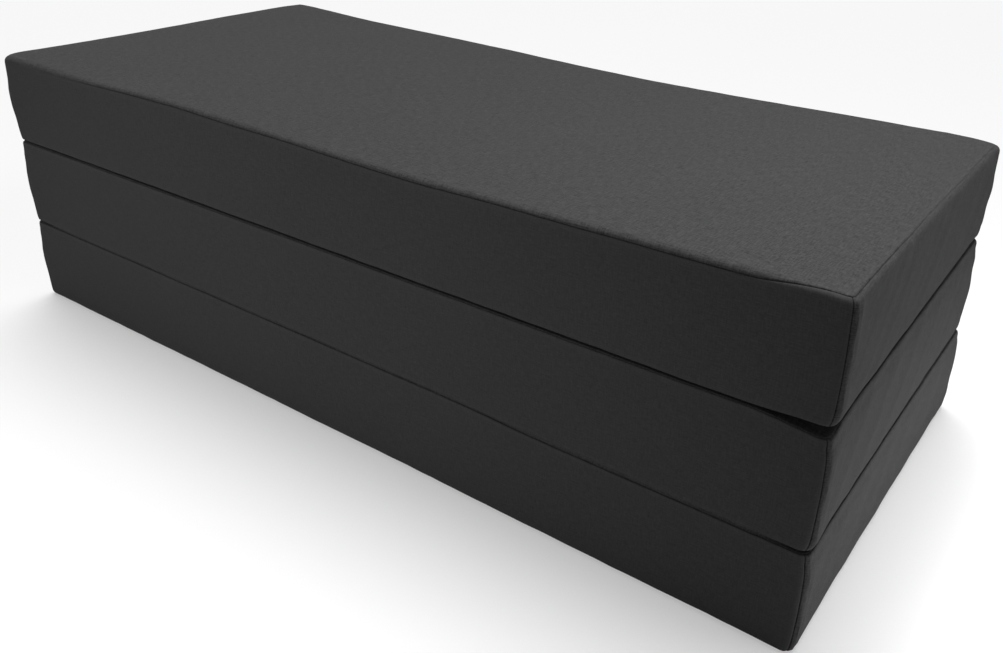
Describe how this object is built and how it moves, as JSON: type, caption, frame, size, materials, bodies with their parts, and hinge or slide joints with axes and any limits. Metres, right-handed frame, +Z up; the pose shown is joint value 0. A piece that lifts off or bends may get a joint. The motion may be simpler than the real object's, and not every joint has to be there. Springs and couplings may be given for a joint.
{
  "type": "tri-fold futon mattress",
  "caption": "Foam mattress in boxed fabric-covered sections, folded in a Z stack; fabric hinges let it open flat for sleeping.",
  "frame": {"origin": "on the floor, under the centre of the folded stack's bottom panel", "axes": "+X along the long sides towards the plain end, -Y towards the front where the lower hinge is, +Z up"},
  "size_m": [1.5324, 0.6778, 0.4698],
  "materials": {
    "cover_fabric": "matte",
    "hinge_fabric": "matte",
    "foam": "matte",
    "zip_tape": "matte",
    "zip_teeth": "satin",
    "zip_metal": "satin"
  },
  "bodies": {
    "bottom_section": {"bottom_foam_core": "foam", "bottom_upper_panel": "cover_fabric", "bottom_lower_panel": "cover_fabric", "bottom_front_band": "cover_fabric", "bottom_rear_band": "cover_fabric", "bottom_right_end_band": "cover_fabric", "bottom_left_end_band_upper": "cover_fabric", "bottom_left_end_band_lower": "cover_fabric", "bottom_zip_tape_upper": "zip_tape", "bottom_zip_tape_lower": "zip_tape", "bottom_zip_teeth": "zip_teeth", "bottom_zip_stops": "zip_metal", "bottom_front_hinge_leaf": "hinge_fabric"},
    "bottom_slider": {"bottom_zip_slider": "zip_metal"},
    "bottom_pull": {"bottom_zip_pull": "zip_metal"},
    "middle_section": {"middle_foam_core": "foam", "middle_upper_panel": "cover_fabric", "middle_lower_panel": "cover_fabric", "middle_front_band": "cover_fabric", "middle_rear_band": "cover_fabric", "middle_right_end_band": "cover_fabric", "middle_left_end_band_upper": "cover_fabric", "middle_left_end_band_lower": "cover_fabric", "middle_zip_tape_upper": "zip_tape", "middle_zip_tape_lower": "zip_tape", "middle_zip_teeth": "zip_teeth", "middle_zip_stops": "zip_metal", "middle_front_hinge_leaf": "hinge_fabric", "middle_rear_hinge_leaf": "hinge_fabric"},
    "middle_slider": {"middle_zip_slider": "zip_metal"},
    "middle_pull": {"middle_zip_pull": "zip_metal"},
    "top_section": {"top_foam_core": "foam", "top_upper_panel": "cover_fabric", "top_lower_panel": "cover_fabric", "top_front_band": "cover_fabric", "top_rear_band": "cover_fabric", "top_right_end_band": "cover_fabric", "top_left_end_band_upper": "cover_fabric", "top_left_end_band_lower": "cover_fabric", "top_zip_tape_upper": "zip_tape", "top_zip_tape_lower": "zip_tape", "top_zip_teeth": "zip_teeth", "top_zip_stops": "zip_metal", "top_rear_hinge_leaf": "hinge_fabric"},
    "top_slider": {"top_zip_slider": "zip_metal"},
    "top_pull": {"top_zip_pull": "zip_metal"}
  },
  "joints": [
    {"name": "lower_fold", "type": "hinge", "parent": "bottom_section", "child": "middle_section", "pos_m": [0, -0.33917, 0.1563], "axis": [1, 0, 0], "range_deg": [0, 180]},
    {"name": "upper_fold", "type": "hinge", "parent": "middle_section", "child": "top_section", "pos_m": [0, 0.33917, 0.3135], "axis": [-1, 0, 0], "range_deg": [0, 180]},
    {"name": "bottom_zip_slide", "type": "slide", "parent": "bottom_section", "child": "bottom_slider", "axis": [0, -1, 0], "range_m": [0, 0.57633]},
    {"name": "bottom_pull_turn", "type": "hinge", "parent": "bottom_slider", "child": "bottom_pull", "pos_m": [-0.76725, 0.28817, 0.0777], "axis": [0, 0, -1], "range_deg": [0, 180]},
    {"name": "middle_zip_slide", "type": "slide", "parent": "middle_section", "child": "middle_slider", "axis": [0, -1, 0], "range_m": [0, 0.57633]},
    {"name": "middle_pull_turn", "type": "hinge", "parent": "middle_slider", "child": "middle_pull", "pos_m": [-0.76725, 0.28817, 0.2349], "axis": [0, 0, -1], "range_deg": [0, 180]},
    {"name": "top_zip_slide", "type": "slide", "parent": "top_section", "child": "top_slider", "axis": [0, -1, 0], "range_m": [0, 0.57633]},
    {"name": "top_pull_turn", "type": "hinge", "parent": "top_slider", "child": "top_pull", "pos_m": [-0.76725, 0.28817, 0.3921], "axis": [0, 0, -1], "range_deg": [0, 180]}
  ]
}
